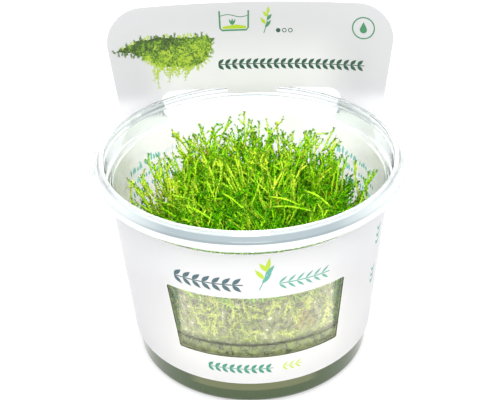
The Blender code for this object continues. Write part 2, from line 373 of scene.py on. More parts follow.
# The floor point that the camera sees mirrored at this place of the cup's front wall
def mirroredOnFloor(x, z, floorHeight):
    radius = outerWall(z)
    place = Vector((x, -math.sqrt(radius ** 2 - x ** 2), z))
    normal = Vector((place.x, place.y, -cupShape["wallSlope"] * radius)).normalized()
    toCamera = (bpy.context.scene.camera.location / mm - place).normalized()
    mirrored = 2 * normal.dot(toCamera) * normal - toCamera
    return place + mirrored * (floorHeight - z) / mirrored.z


def makeReflector(v):
    (left, right), columns = v["sides"], v["columns"]
    spans = [left + (right - left) * k / columns for k in range(columns + 1)]
    points = [mirroredOnFloor(x, z, v["lift"]) * mm for z in v["heights"] for x in spans]
    faces = [(k, k + columns + 1, k + columns + 2, k + 1) for k in range(columns)]
    addStage("reflectorCard", points, faces, v["color"], v["glow"])


makeReflector(reflector)
print("reflector set")

# Cup: in each pair of heights, radii or widths, the finish begins at the first and is full at the second
plastic = {
    "color": (252, 254, 254),
    "rimColor": (244, 249, 251),
    "topShadeColor": (128, 140, 145),      # painted shade on the flange's upper face, at the front
    "edgeShadeColor": (186, 190, 196),     # painted shade on its outer face, away from the front
    "wetColor": (62, 80, 45),         # seen through the foot, where the gel touches the plastic
    "wetShare": 0.8,
    "wetHeights": (13.0, 11.0),
    "floorReflectionColor": (100, 106, 72),    # painted reflection of the floor, a paler band across the front
    "reflectionLow": (5.6, 6.1),
    "reflectionHigh": (10.2, 9.7),
    "reflectionHalf": (22.0, 17.0),
    "ior": 1.49,
    "roughness": 0.03,
    "wallHaze": 0.012,        # share of each surface that is cloudy
    "wallHeights": (22.0, 30.0),
    "rimHaze": 0.09,
    "frontHaze": 0.25,        # painted light: more haze at the front only, which makes the front of the rim whiter
    "topHaze": 0.72,
    "faceHaze": 0.06,
    # painted light: more haze on the outer face at the front, in the rim's pale colour
    "frontFaceHaze": 0.30,
    "frontDepths": (6.0, -36.0),
    "rimHeights": (62.5, 65.5),
    "topRadii": (48.0, 48.8),
    "faceRadii": (49.9, 50.3),
    "faceHeights": (69.7, 68.9),      # the band of painted shade and light on the outer face
    "topHalf": (22.0, 46.0, 1.0, 0.3),      # the painted shade fades sideways, down to a share of 0.3
}


def clearPlastic(v):
    make = Surface("clearPlastic", v["color"], v["roughness"])
    x, y, z = make.axes()
    spread = make.spread(x, y)
    inRim = make.span(z, *v["rimHeights"])
    atFront = make.span(y, *v["frontDepths"])
    onFace = make.times(make.span(spread, *v["faceRadii"]), make.span(z, *v["faceHeights"]))
    # painted shade: the shadow under the flange, seen through its upper face at the front
    shadedTop = make.times(atFront, make.span(spread, *v["topRadii"]), make.math("SUBTRACT", 1.0, onFace),
                       make.aside(x, *v["topHalf"]))
    wet = make.span(z, *v["wetHeights"])
    # painted reflection of the floor, low on the front wall
    floorReflection = make.times(make.span(z, *v["reflectionLow"]), make.span(z, *v["reflectionHigh"]),
                        make.aside(x, *v["reflectionHalf"]), atFront)

    haze = make.span(z, *v["wallHeights"], 0.0, v["wallHaze"])
    # painted light at the front of the rim
    haze = make.timesPlus(inRim, make.timesPlus(atFront, v["frontHaze"], v["rimHaze"]), haze)
    haze = make.timesPlus(shadedTop, v["topHaze"], haze)
    haze = make.timesPlus(onFace, make.timesPlus(atFront, v["frontFaceHaze"], v["faceHaze"]), haze)
    haze = make.timesPlus(wet, v["wetShare"], haze)
    make.fill(make.inputs["Transmission Weight"], make.math("SUBTRACT", 1.0, haze))
    make.inputs["IOR"].default_value = v["ior"]

    color = make.mixColor(inRim, v["color"], v["rimColor"])
    color = make.mixColor(shadedTop, color, v["topShadeColor"])
    # outer face: painted shade away from the front, painted light at the front
    color = make.mixColor(onFace, color, make.mixColor(atFront, v["edgeShadeColor"], v["rimColor"]))
    return make.painted(make.mixColor(wet, color, make.mixColor(floorReflection, v["wetColor"], v["floorReflectionColor"])))


# The cup's section, up the outside, over the rim and down the inside, with every edge rounded
def cupProfile(v):
    lidOutside = v["lidWall"] + v["lidWallThick"]
    skirtInside, skirtTop = v["flange"] - v["skirt"], v["flangeBottom"] + v["skirtDepth"]
    wallTop = v["shoulder"] - 1.0
    foot, floorTop = v["footInner"], v["footRecess"] + v["wall"]
    return roundedLine([
        (0, v["footRecess"], 0),
        (foot - 1.0, v["footRecess"], 0.6),
        (foot, 0, 0.5),
        (outerWall(0), 0, v["corner"]),
        (outerWall(wallTop), wallTop, 0.5),
        (lidOutside, v["shoulder"] + 0.3, 0.4),
        (lidOutside + 0.1, skirtTop, 0.3),
        (skirtInside, skirtTop, 0.3),
        (skirtInside, v["flangeBottom"], 0.25),
        (v["flange"] - 0.15, v["flangeBottom"], 0.35),
        (v["flange"], v["flangeTop"], 0.45),
        (v["rim"] + 2.0, v["rimTop"] - 1.0, 1.2),
        (v["rim"] + 1.2, v["rimTop"], 0.45),
        (v["rim"], v["rimTop"], 0.55),
        (v["lidWall"], v["shoulder"], 0.5),
        (innerWall(v["shoulder"]), v["shoulder"] - 0.1, 0.45),
        (innerWall(0), v["wall"], v["corner"] - v["wall"]),
        (foot + 0.3, v["wall"], 0.3),
        (foot - 1.2, floorTop, 0.5),
        (0, floorTop, 0),
    ], steps=5)


cupMesh = turnedMesh(cupProfile(cupShape), cupShape["segments"])
finishPiece("clearCup", cupMesh, [clearPlastic(plastic)], "cup", sharp=50)
print("cup made")

# Gel
gel = {
    "color": (60, 104, 30),
    "upperColor": (148, 162, 80),
    "upperHeights": (15.0, 21.0),
    "absorbColor": (0.34, 0.52, 0.22, 1.0),
    "absorbDensity": 62.0,
    "cloud": 0.45,            # share of light that the gel's skin scatters
    "upperCloud": 0.75,
    "strandColor": (60, 86, 22),
    "strandScale": 120.0,
    "strandWidth": 0.017,
    "mottleScale": 600.0,
    "mottleTones": (0.86, 1.14),
    "grainScale": 420.0,
    "grain": (0.2, 0.0003),   # strength and depth of the bumps
    "ior": 1.34,
    "roughness": 0.12,
    "gap": 0.08,
    "top": 25.0,
    "meniscus": 0.8,
    "segments": 160,
    "ripple": 0.25,
}


def agarGel(v):
    make = Surface("agarGel", v["color"], v["roughness"])
    upper = make.span(make.axes()[2], *v["upperHeights"])
    strand, width = 0.0, v["strandWidth"]
    for scale in (v["strandScale"], v["strandScale"] * 1.7):
        away = make.math("ABSOLUTE", make.math("SUBTRACT", make.noise(scale, 3.0), 0.5))
        strand = make.math("MAXIMUM", make.ramp(away, width, width * 0.3), strand)
    shades = [tuple(min(255, c * factor) for c in v["upperColor"]) for factor in v["mottleTones"]]
    upperColor = make.mixColor(make.ramp(make.noise(v["mottleScale"], 3.0), 0.35, 0.65), *shades)
    color = make.mixColor(upper, v["color"], upperColor)
    cloud = make.timesPlus(upper, v["cloud"] - v["upperCloud"], 1.0 - v["cloud"])
    make.fill(make.inputs["Transmission Weight"], cloud)
    make.inputs["IOR"].default_value = v["ior"]
    make.bump(make.noise(v["grainScale"], 3.0), *v["grain"])
    absorb = make.add("ShaderNodeVolumeAbsorption")
    absorb.inputs["Color"].default_value = v["absorbColor"]
    absorb.inputs["Density"].default_value = v["absorbDensity"]
    make.fill(make.tree.nodes["Material Output"].inputs["Volume"], absorb.outputs[0])
    return make.painted(make.mixColor(make.times(upper, strand), color, v["strandColor"]))


def makeGel(v):
    inset = cupShape["wall"] + v["gap"]
    foot, floorTop = cupShape["footInner"], cupShape["footRecess"] + inset
    level = v["top"] - v["meniscus"]
    edge = innerWall(v["top"]) - v["gap"]
    corners = [
        (0, floorTop, 0),
        (foot - 1.3, floorTop, 0.5),
        (foot + 0.4, inset, 0.4),
        (outerWall(0) - inset, inset, cupShape["corner"] - inset),
        (edge, v["top"], 0.15),
        (edge - 1.6, level, 1.2),
    ]
    corners += [(radius, level, 0) for radius in (edge - 8.0, edge - 16.0, edge - 24.0, 0)]
    mesh = turnedMesh(roundedLine(corners, steps=5), v["segments"])
    for vertex in mesh.verts:
        x, y, z = vertex.co / mm
        if z > level - 0.1 and math.hypot(x, y) < edge - 3.0:
            vertex.co.z -= v["ripple"] * (0.5 + 0.5 * noise.noise(Vector((x, y, 0)) / 5.0)) * mm
    finishPiece("agarGel", mesh, [agarGel(v)], "culture_gel", sharp=50)


makeGel(gel)
print("gel made")

# Card sleeve: the flat blank in U along the back and Z up, in millimetres, as the solid has it
card = {
    "thick": 0.4,
    "clearance": 0.3,
    "bottom": 9.6,
    "top": 62.6,
    "roundRadius": 45.4,
    "headerLeft": -49.6,
    "headerRight": 52.4,
    "rootTaper": 5.0,         # how far each side of the header has drawn in at its root
    "headerTop": 103.8,
    "headerCorner": 12.0,
    "headerBend": 200.0,
    "headerY": 44.55,
    "headerFrom": 65.0,       # the header's own finish begins here
    "freeLow": 50.0,
    "freeHigh": 72.0,
    "legInner": (14.0, 30.0),
    "legOuter": (40.0, 60.0),
    "slotCorners": [
        # u, height and radius, round the slot and the tab that hangs into it
        (-30.6, 63.0, 4.0), (33.2, 63.0, 4.0), (33.2, 72.85, 4.0), (10.4, 72.85, 0.4),
        (10.4, 70.7, 1.2), (-7.0, 70.7, 1.2), (-7.0, 72.85, 0.4), (-30.6, 72.85, 4.0),
    ],
    "windowCorners": [(39.6, 21.1), (-33.9, 21.1), (-36.7, 45.8), (40.5, 45.8)],  # degrees from the front
    "columns": 256,
    "lapStart": 3.0,          # glued lap, measured from the seam
    "lapWidth": 11.0,
    "lapFade": 9.0,
    "lapHeight": 0.3,
}
seamU = -0.25 * math.tau * card["roundRadius"]
endU = seamU + math.tau * card["roundRadius"]


# Where a point of the flat blank lies, halfway through the card
def sleevePlace(u, z):
    v = card
    angle = u / v["roundRadius"]
    radius = outerWall(z) + v["clearance"] + v["thick"] / 2
    onCup = Vector((radius * math.sin(angle), radius * math.cos(angle), z))
    bend = u / v["headerBend"]
    flatY = v["headerY"] + cupShape["wallSlope"] * (z - cupShape["rimTop"])
    flatY -= v["headerBend"] * (1 - math.cos(bend))
    onHeader = Vector((v["headerBend"] * math.sin(bend), flatY, z))
    inLeg = smoothStep(abs(u), *v["legInner"]) * (1 - smoothStep(abs(u), *v["legOuter"]))
    start = v["top"] - (v["top"] - v["freeLow"]) * inLeg
    return onCup.lerp(onHeader, smoothStep(z, start, v["freeHigh"]))


def sleeveNormal(u, z):
    alongU = sleevePlace(u + 0.05, z) - sleevePlace(u - 0.05, z)
    alongZ = sleevePlace(u, z + 0.05) - sleevePlace(u, z - 0.05)
    return alongZ.cross(alongU).normalized()


def lapLift(u):
    along = u - seamU - card["lapStart"]
    if along < 0:
        return 0.0
    return card["lapHeight"] * (1 - smoothStep(along, card["lapWidth"], card["lapWidth"] + card["lapFade"]))


def blankLoops(v):
    outline = roundedLine([
        (seamU, v["bottom"], 0),
        (endU, v["bottom"], 0),
        (endU, v["top"], 0),
        (v["headerRight"] - v["rootTaper"], v["top"], 3.0),
        (v["headerRight"], v["headerTop"], v["headerCorner"]),
        (v["headerLeft"], v["headerTop"], v["headerCorner"]),
        (v["headerLeft"] + v["rootTaper"], v["top"], 3.0),
        (seamU, v["top"], 0),
    ], steps=14, closed=True)
    corners = [(math.radians(180 - angle) * v["roundRadius"], z, 0.7) for angle, z in v["windowCorners"]]
    window = roundedLine(corners, steps=5, closed=True)
    return outline, window, roundedLine(v["slotCorners"], steps=6, closed=True)


# A pointed leaf from its foot at x, z
def leafLoop(x, z, length, width, degrees, points=5, blunt=0.8):
    along, foot = toward(math.radians(degrees)), Vector((x, z))
    across = leftOf(along)
    left, right = [], []
    for step in range(1, points):
        share = step / points
        half = width / 2 * math.sin(math.pi * share ** blunt)
        left.append(foot + along * length * share + across * half)
        right.append(foot + along * length * share - across * half)
    return [foot] + right + [foot + along * length] + left[::-1]


def ringLoop(x, z, radius, points):
    angles = [math.tau * k / points for k in range(points)]
    return [Vector((x + radius * math.cos(a), z + radius * math.sin(a))) for a in angles]


# A line drawn with a pen of the given thickness
def strokeLoop(line, thick):
    points = [Vector(p) for p in line]
    left, right = [], []
    for index, point in enumerate(points):
        before, after = points[max(0, index - 1)], points[min(len(points) - 1, index + 1)]
        across = leftOf((after - before).normalized()) * thick / 2
        left.append(point + across)
        right.append(point - across)
    return right + left[::-1]


# Printed marks are (ink, loops). This one is a leafy border: a thin stem with pairs of leaves
def garland(ink, left, right, z, height, pitch, width=0.30, lean=42):
    marks = [(ink, [strokeLoop([(left, z), ((left + right) / 2, z), (right, z)], height * 0.09)])]
    count = max(1, round((right - left) / pitch))
    length = height / 2 / math.sin(math.radians(lean))
    for k in range(count):
        x = left + (right - left) / count * k
        for sign in (1, -1):
            leaf = leafLoop(x, z + sign * height * 0.05, length, height * width, sign * lean, 8)
            marks.append((ink, [leaf]))
    return marks


# A twig with leaves by turns on both sides and one at its tip
def twig(ink, line, thick, heights, slant, leafSizes, lean, tip, points):
    length, shorter, width = leafSizes
    footX, footZ = line[0]
    marks = [(ink, [strokeLoop(line, thick)])]
    for k, z in enumerate(heights):
        side = -1 if k % 2 else 1
        leaf = leafLoop(footX + (z - footZ) * slant, z, length - shorter * k, width, 90 - side * lean, points)
        marks.append(("lime" if side < 0 else ink, [leaf]))
    return marks + [("lime", [leafLoop(*tip, points)])]


def headerMarks():
    left, right, bottom, top = -9.0, 1.0, 93.9, 100.8     # a small tank with a wave, ground and plants
    wave = [(left + 0.4 + 9.2 * k / 12, 99.0 + 0.45 * math.sin(math.tau * k / 12)) for k in range(13)]
    walls = [(left, top), (left + 0.15, bottom + 0.8), (left + 0.8, bottom), (right - 0.8, bottom),
             (right - 0.15, bottom + 0.8), (right, top)]
    ground = [(-8.0, 94.4), (0.2, 94.4), (0.2, 95.3), (-3.5, 95.9), (-8.0, 95.2)]
    marks = mossPicture(random.Random(5))
    marks += [("leafGreen", [strokeLoop(wave, 0.3)]), ("leafGreen", [strokeLoop(walls, 0.6)]),
              ("lime", [[Vector(p) for p in ground]])]
    marks += [("leafGreen", [leafLoop(-4.6, 95.7, 2.5, 0.75, lean)]) for lean in (62, 90, 118)]
    marks += twig("leafGreen", [(6.2, 92.6), (7.3, 96.0), (7.7, 99.4)], 0.28, (94.6, 95.8, 97.2, 98.4), 0.24,
                  (3.4, 0.3, 1.15), 38, (7.7, 99.3, 2.9, 1.05, 86), 5)
    for k in range(3):
        radii = (0.8, 0.5) if k else (0.8,)
        marks.append(("darkGreen", [ringLoop(11.2 + 2.1 * k, 93.6, radius, 16) for radius in radii]))
    marks.append(("leafGreen", [ringLoop(40.5, 95.1, radius, 44) for radius in (3.95, 3.5)]))
    drop = [Vector((40.5, 97.3))] + [
        Vector((40.5 + 1.25 * math.sin(a), 94.5 - 1.25 * math.cos(a)))
        for a in (math.radians(110 - 22 * k) for k in range(11))
    ]
    marks.append(("leafGreen", [drop]))
    return marks + garland("darkGreen", -9.9, 41.2, 81.6, 3.6, 2.45, 0.34)


# A drawn cushion of moss: a clump with a tail at its left, fronds round its edge and threads hanging below
mossOutline = [
    (-45.4, 88.8), (-40.5, 91.0), (-36.7, 92.4), (-30.3, 93.0), (-25.7, 92.6), (-20.3, 92.2), (-15.0, 92.4),
    (-12.0, 91.4), (-11.9, 87.5), (-13.2, 84.8), (-16.0, 82.2), (-20.3, 81.2), (-25.7, 81.2), (-30.3, 81.9),
    (-33.0, 83.7), (-36.3, 86.3), (-40.0, 87.8),
]


def mossPicture(rand):
    outline, fronds = [], []
    for start, end in zip(mossOutline, mossOutline[1:] + mossOutline[:1]):
        start, end = Vector(start), Vector(end)
        away = leftOf((end - start).normalized())
        parts = max(2, round((end - start).length / 1.2))
        for step in range(parts):
            place = start.lerp(end, step / parts)
            outline.append(place + away * rand.uniform(-0.5, 0.3))
            heading = math.atan2(away.y, away.x) + rand.uniform(-0.7, 0.7)
            ink = "mossDark" if place.y > 90 - 2 * rand.random() or place.x < -37 else "mossMid"
            ink = "mossLight" if place.y < 84 or rand.random() < 0.25 else ink
            fronds.append((place - away * 0.5, rand.uniform(0.9, 1.9), heading, ink, 0.5))
    for k in range(14):
        foot = Vector((-33.0 + 16.0 * (k + rand.random()) / 14, 82.0))
        heading = math.radians(-90 + rand.uniform(-20, 20))
        fronds.append((foot, rand.uniform(1.8, 4.0), heading, "mossLight", 0.6))
    for x, length in ((-31.4, 7.4), (-30.6, 5.0), (-26.2, 5.6), (-25.5, 4.2), (-21.4, 5.4)):
        fronds.append((Vector((x, 82.2)), length, math.radians(-92), "mossLight", 0.8))
    for k in range(26):
        foot = Vector((-36.0 + 22.5 * (k + rand.random()) / 26, rand.uniform(83.0, 91.5)))
        ink = "mossLight" if foot.y < 89 else "mossMid"
        fronds.append((foot, rand.uniform(1.8, 2.8), rand.uniform(0, math.tau), ink, 0.6))
    marks = [("mossPrint", [outline])]
    for foot, length, heading, ink, size in fronds:
        marks += frond(foot, length, heading, rand.uniform(-0.15, 0.15), ink, rand, size)
    return marks


def frond(foot, length, heading, curl, ink, rand, leafSize):
    line, leaves = [foot], []
    steps = max(4, int(length / 1.5))
    for k in range(steps):
        heading += curl
        line.append(line[-1] + toward(heading) * length / steps)
        size = 1.7 * leafSize * (1 - 0.5 * k / steps) * rand.uniform(0.7, 1.2)
        for sign in (1, -1):
            turn = math.degrees(heading) + sign * rand.uniform(32, 52)
            leaves.append((ink, [leafLoop(*line[-1], size, size * 0.34, turn, 3)]))
    return [(ink, [strokeLoop(line, 0.25)])] + leaves


# Marks of the cup's front, drawn to the right of its middle
def frontMarks():
    marks = garland("teal", -25.4, -2.8, 51.0, 5.0, 3.2)
    marks += garland("lightTeal", 8.4, 25.4, 51.0, 4.6, 2.9, 0.18)
    marks += twig("lightTeal", [(2.2, 49.0), (3.7, 52.6), (4.6, 56.4)], 0.35, (51.6, 53.2, 54.6, 56.0), 0.36,
                  (5.0, 0.25, 1.5), 36, (4.6, 56.3, 5.0, 1.45, 80), 6)
    marks += garland("deepTeal", -16.2, 6.8, 16.1, 3.6, 2.5, 0.34)
    marks += garland("lime", 10.2, 17.4, 16.1, 3.4, 2.5, 0.2)
    return marks + [("lightTeal", [leafLoop(51.8, z, 2.9, 1.1, lean)])
                    for z in (47.5, 50.2, 52.9, 32.0, 34.4, 36.8) for lean in (50, 130)]


# Rows of tiny slanted leaves in groups, on the inside of the sleeve
def innerMarks():
    marks, rand = [], random.Random(11)
    left, right = (math.radians(angle) * card["roundRadius"] for angle in (-67, 76))
    for z in (53.0, 48.8, 44.8):
        u = left
        while u < right:
            ink = "fineTeal" if abs(u) > 34 else "paleTeal"
            for _ in range(rand.randint(3, 8)):
                if u > right:
                    break
                tall = 2.7 * rand.choice((0.7, 0.7, 1.0))
                marks.append((ink, [leafLoop(u, z, tall, 1.15, 90 + rand.choice((-18, 0, 14)), 3, 1.0)]))
                u += rand.uniform(1.3, 1.6)
            u += 1.4
    return marks


# All marks as (ink, side of the card, loops) in the blank's own U and Z
def allMarks():
    half = math.pi * card["roundRadius"]
    marks = [(ink, "inner", loops) for ink, loops in headerMarks()]
    for ink, loops in frontMarks():
        marks.append((ink, "outer", [[Vector((half - p.x, p.y)) for p in loop] for loop in loops]))
    return marks + [(ink, "inner", loops) for ink, loops in innerMarks()]


# Even and odd rule over all the loops of one mark
def insideLoops(loops, point):
    inside = False
    for loop in loops:
        last = loop[-1]
        for here in loop:
            if (here.y > point.y) != (last.y > point.y):
                crossing = last.x + (point.y - last.y) * (here.x - last.x) / (here.y - last.y)
                if crossing > point.x:
                    inside = not inside
            last = here
    return inside


# For each strip of the blank 2 mm wide, the marks that reach into it, with their boxes
def markIndex(marks):
    strips = {}
    for number, (_, _, loops) in enumerate(marks):
        xs, zs = zip(*(p for loop in loops for p in loop))
        entry = (number, min(xs), max(xs), min(zs), max(zs))
        for strip in range(int(min(xs) // 2), int(max(xs) // 2) + 1):
            strips.setdefault(strip, []).append(entry)
    return strips


# Triangles of the blank, cut along the marks' outlines, and the mark that each belongs to, or -1
def blankTriangles(marks, v):
    points, edges = [], []
    blank = blankLoops(v)
    for loop in [*blank, *(loop for _, _, loops in marks for loop in loops)]:
        first = len(points)
        points.extend(loop)
        edges.extend((first + k, first + (k + 1) % len(loop)) for k in range(len(loop)))

    def addLine(start, end):
        edges.append((len(points), len(points) + 1))
        points.extend((Vector(start), Vector(end)))

    for column in range(v["columns"] + 1):
        u = seamU + (endU - seamU) * column / v["columns"]
        onHeader = v["headerLeft"] < u < v["headerRight"]
        addLine((u, v["bottom"]), (u, v["headerTop"] if onHeader else v["top"]))
    for u in (seamU + v["lapStart"] - 0.05, seamU + v["lapStart"]):
        addLine((u, v["bottom"]), (u, v["top"]))
    for step in range(8):
        level = v["bottom"] + (v["top"] - v["bottom"]) * (step + 0.5) / 8
        addLine((seamU, level), (endU, level))
    for step in range(24):
        level = 51.0 + 2.2 * step
        addLine((v["headerLeft"] - 12, level), (v["headerRight"] + 12, level))
    flat, _, faces, *_ = delaunay_2d_cdt(points, edges, [], 0, 1e-5)
    strips = markIndex(marks)
    kept, owners = [], []
    for face in faces:
        middle = (flat[face[0]] + flat[face[1]] + flat[face[2]]) / 3
        if not insideLoops(blank, middle):
            continue
        owner = -1
        for number, lowX, highX, lowZ, highZ in strips.get(int(middle.x // 2), ()):
            inBox = lowX <= middle.x <= highX and lowZ <= middle.y <= highZ
            if inBox and insideLoops(marks[number][2], middle):
                owner = number
        kept.append(face)
        owners.append(owner)
    return flat, kept, owners


inks = {
    "darkGreen": (40, 80, 62),
    "teal": (46, 78, 90),
    "lightTeal": (74, 146, 134),
    "leafGreen": (60, 124, 84),
    "lime": (158, 184, 30),
    "paleTeal": (196, 222, 204),
    "fineTeal": (44, 132, 110),
    "deepTeal": (38, 118, 104),
    "mossDeep": (48, 66, 28),
    "mossDark": (70, 98, 32),
    "mossMid": (104, 142, 34),
    "mossLight": (160, 184, 54),
}
cardFinish = {
    "white": (200, 200, 207),
    # painted shade: the header's front, the same card as the inside, in grey
    "header": (188, 188, 191),
    "headerRootPaintedLight": (215, 215, 216),    # painted light, in the middle
    "leg": (199, 199, 203),           # painted light, beside the slot
    # painted shade on the back of the header
    "headerBackShade": (170, 170, 175),
    "legHeights": (76.0, 65.0),
    "headerHeights": (100.0, 76.0),
    "headerHalf": (40.0, 22.0),
    "inside": (242, 240, 212),
    "edge": (240, 238, 232),
    "windowEdgeShadow": (78, 88, 34),       # painted shadow between the card and the cup
    "roughness": 0.32,
    "fibreScale": 1800.0,
    "fibre": (0.10, 0.0001),  # strength and depth of the bumps
    "toneScale": 35.0,
    "darkerTone": 0.965,
    "letThrough": 0.3,        # share of light that sinks into the card
    "letThroughInside": 1.0,
    "depth": 0.006,
}


def cardSurface(name, color, roughness, letThrough):
    make = Surface(name, color, roughness)
    make.inputs["Subsurface Weight"].default_value = letThrough
    make.inputs["Subsurface Radius"].default_value = (1.0, 1.0, 1.0)
    make.inputs["Subsurface Scale"].default_value = cardFinish["depth"]
    make.bump(make.noise(cardFinish["fibreScale"], 5.0, 0.7), *cardFinish["fibre"])
    return make


def cardMaterial(name, color, roughness, letThrough):
    make = cardSurface(name, color, roughness, letThrough)
    base = screenColor(color)
    darker = (*(channel * cardFinish["darkerTone"] for channel in base[:3]), 1.0)
    return make.painted(make.mixColor(make.noise(cardFinish["toneScale"], 2.0), darker, base))


# The header's front in painted shade, with painted light towards the middle of its root and low down beside the
# slot
def headerMaterial(v):
    make = cardSurface("cardHeader", v["header"], 0.55, 0.0)
    x, _, z = make.axes()
    low = make.times(make.span(z, *v["headerHeights"]), make.aside(x, *v["headerHalf"]))
    color = make.mixColor(low, v["header"], v["headerRootPaintedLight"])
    return make.painted(make.mixColor(make.span(z, *v["legHeights"]), color, v["leg"]))


# The header's back in painted shade, going to the tone of the sleeve at its root
def headerBackMaterial(v):
    make = cardSurface("cardHeaderBack", v["headerBackShade"], v["roughness"], 0.0)
    low = make.span(make.axes()[2], *v["legHeights"])
    return make.painted(make.mixColor(low, v["headerBackShade"], v["white"]))


# Print of a clump of moss: fine greens, darker towards its top
def mossPrint():
    make = cardSurface("mossPrint", inks["mossMid"], 0.5, 0.0)
    x, _, z = make.axes()
    share = make.timesPlus(make.noise(260.0, 2.0), 0.5, make.noise(1700.0, 3.0))
    high = make.span(make.timesPlus(x, -0.22, z), 91, 99, 0.16, 0.38)
    places = ((0.30, "mossDeep"), (0.44, "mossDark"), (0.56, "mossMid"), (0.70, "mossLight"))
    stops = [(place, inks[name]) for place, name in places]
    return make.painted(make.colorRamp(make.math("SUBTRACT", share, high), stops))


def makeSleeve(v):
    marks = allMarks()
    flat, faces, owners = blankTriangles(marks, card)
    materials = [
        cardMaterial("cardOutside", v["white"], v["roughness"], v["letThrough"]),
        cardMaterial("cardInside", v["inside"], 0.38, v["letThroughInside"]),
        headerMaterial(v),
        cardMaterial("cardEdge", v["edge"], 0.7, v["letThrough"]),
        cardMaterial("windowEdgeShadow", v["windowEdgeShadow"], 0.7, 0.0),
        headerBackMaterial(v),
    ]
    outside, inside, header, edge, windowEdgeShadow, headerBackShade = range(6)
    slots = {}
    for name, color in inks.items():
        slots[name] = len(materials)
        letThrough = v["letThroughInside"] if name in ("fineTeal", "paleTeal") else 0.0
        materials.append(cardMaterial("ink_" + name, color, 0.5, letThrough))
    slots["mossPrint"] = len(materials)
    materials.append(mossPrint())
    mesh = bmesh.new()
    outer, inner, edgeUse = {}, {}, {}
    half = card["thick"] / 2
    for face in faces:
        for index in face:
            if index not in outer:
                u, z = flat[index]
                middle, away = sleevePlace(u, z), sleeveNormal(u, z)
                outer[index] = mesh.verts.new((middle + away * (half + lapLift(u))) * mm)
                inner[index] = mesh.verts.new((middle - away * half) * mm)
        for one, two in zip(face, face[1:] + face[:1]):
            edgeUse.setdefault(frozenset((one, two)), []).append((one, two))
    for face, owner in zip(faces, owners):
        ink, side, _ = marks[owner] if owner >= 0 else (None, None, None)
        onHeader = flat[face[0]].y > card["headerFrom"]
        front = mesh.faces.new([outer[k] for k in reversed(face)])
        front.material_index = slots[ink] if side == "outer" else headerBackShade if onHeader else outside
        back = mesh.faces.new([inner[k] for k in face])
        back.material_index = slots[ink] if side == "inner" else header if onHeader else inside
    for uses in edgeUse.values():
        one, two = uses[0]
        atSeam = all(min(abs(flat[k].x - seamU), abs(flat[k].x - endU)) < 1e-4 for k in (one, two))
        if len(uses) == 1 and not atSeam:
            strip = mesh.faces.new((outer[one], outer[two], inner[two], inner[one]))
            inWindow = abs(flat[one].x) > 60 and card["bottom"] + 5 < flat[one].y < card["top"] - 5
            strip.material_index = windowEdgeShadow if inWindow else edge
    bmesh.ops.remove_doubles(mesh, verts=mesh.verts, dist=2e-6)
    bmesh.ops.recalc_face_normals(mesh, faces=mesh.faces)
    print("sleeve triangles", len(mesh.faces), "marks", len(marks))
    finishPiece("cardSleeve", mesh, materials, "sleeve", sharp=40)


makeSleeve(cardFinish)
print("sleeve made")

# Moss: leafy shoots grown as lines, then clothed with leaves by Geometry Nodes
moss = {
    "seed": 21,
    "gelTop": 24.5,
    "reach": 41.5,            # radius of the cushion near its top
    "tipHeight": 66.6,
    "tipDome": 4.3,           # how much lower the tips stand at the edge
    "fan": 0.42,              # sideways lean of the shoots, more with the distance from fanMiddle
    "fanMiddle": 13.0,
    "sink": 12.0,             # how much lower the cushion lies at its left edge, and half of it at the right
    "sinkLeft": (19, 35),
    "sinkRight": (26, 40),
    "thinLeft": (14, 30),     # where fewer tufts stand
    "thinRight": (20, 38),
    "leafLength": 0.92,
    "leafWidth": 0.72,
    "leafLean": 34,           # degrees between leaf and stem
    "leafSpacing": 0.38,
    "stemRadius": 0.34,
    "step": 1.3,
    "wallGap": 1.25,          # kept between a stem and the wall, for its leaves
    "paintedLightLeft": 0.36,         # painted light: how much paler the shoots are at the left, where they also stand loose
    "speckle": 0.9,           # how much the leaves of a shoot differ in tone
    "brown": 0.012,           # share of the shoots that have turned brown
    "roughness": 0.55,
    "specular": 0.15,
}
# Fronds pressed against the window
pressedFrond = {"leafLength": 1.2, "leafWidth": 0.5, "leafLean": 52, "stemRadius": 0.13, "leafSpacing": 0.3}
groupColumns = ("name", "tufts", "shoots", "sector", "radii", "root", "length", "tint", "stray", "wander",
                "thin", "branches")
mossGroups = [dict(zip(groupColumns, row)) for row in (
    ("mossTallBack", 92, (1, 4), (5, 175), (2, 39), (41, 47), (13, 21), (0.3, 0.9), 0.16, 0.0, 0.8, (0, 2)),
    ("mossTallFront", 46, (1, 4), (185, 355), (2, 39), (40, 45), (9, 15), (0.2, 0.8), 0.3, 0.0, 0.75, (0, 2)),
    ("mossCanopyBack", 230, (2, 4), (0, 180), (0, 40), (38, 43), (6, 13), (0.0, 0.7), 0.42, 0.0, 0.7, (0, 2)),
    ("mossCanopyFront", 310, (2, 4), (180, 360), (0, 41), (39, 45), (6, 12), (-0.05, 0.6), 0.7, 0.0, 0.35,
     (0, 2)),
    ("mossMiddle", 190, (2, 4), (-15, 195), (0, 34), (41, 47), (5, 11), (0.0, 0.7), 0.6, 0.0, 0.6, (0, 2)),
    ("mossAtWindow", 40, (1, 2), (228, 314), (38.6, 41), (24.8, 47), (4, 9), (0.2, 0.8), 0.0, 0.7, 0.0, (1, 3)),
    ("mossSides", 110, (1, 3), (-46, 228), (38, 41), (25, 40), (5, 10), (0.1, 0.7), 0.0, 0.6, 0.7, (0, 2)),
)]
